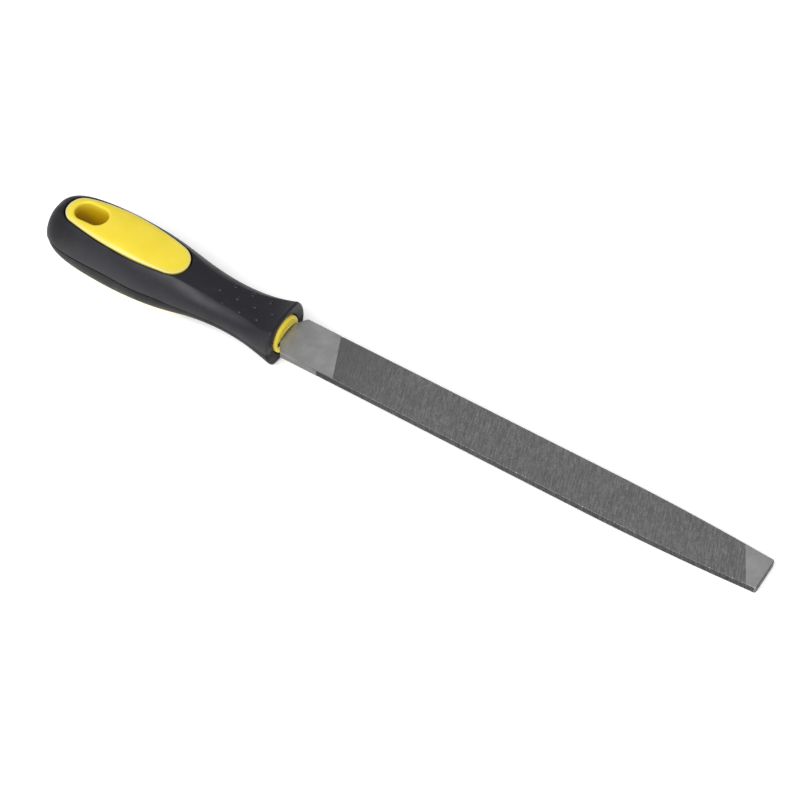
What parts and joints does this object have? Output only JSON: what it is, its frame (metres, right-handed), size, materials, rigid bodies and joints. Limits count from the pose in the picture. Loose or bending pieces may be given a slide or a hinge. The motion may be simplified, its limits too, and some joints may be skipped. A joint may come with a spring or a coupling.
{
  "type": "flat file",
  "caption": "Flat hand file for metal: toothed steel blade tapering to a squared tip, in a black rubber and yellow plastic handle with an oval hanging hole.",
  "frame": {"origin": "centre of the hanging hole, on the tool's centre line, halfway through the handle", "axes": "+X along the tool to the blade's tip, +Y across the blade, +Z square to the cutting faces, along the hanging hole"},
  "size_m": [0.3114, 0.0283, 0.0296],
  "materials": {
    "file_steel": "hardened tool steel, dull grey, cut teeth on the faces and edges, smooth heel and tip",
    "yellow_plastic": "satin moulded polypropylene",
    "black_rubber": "matte moulded thermoplastic rubber"
  },
  "bodies": {
    "root": {"file_blade": "file_steel", "handle_core": "yellow_plastic", "handle_grip": "black_rubber"}
  },
  "joints": []
}
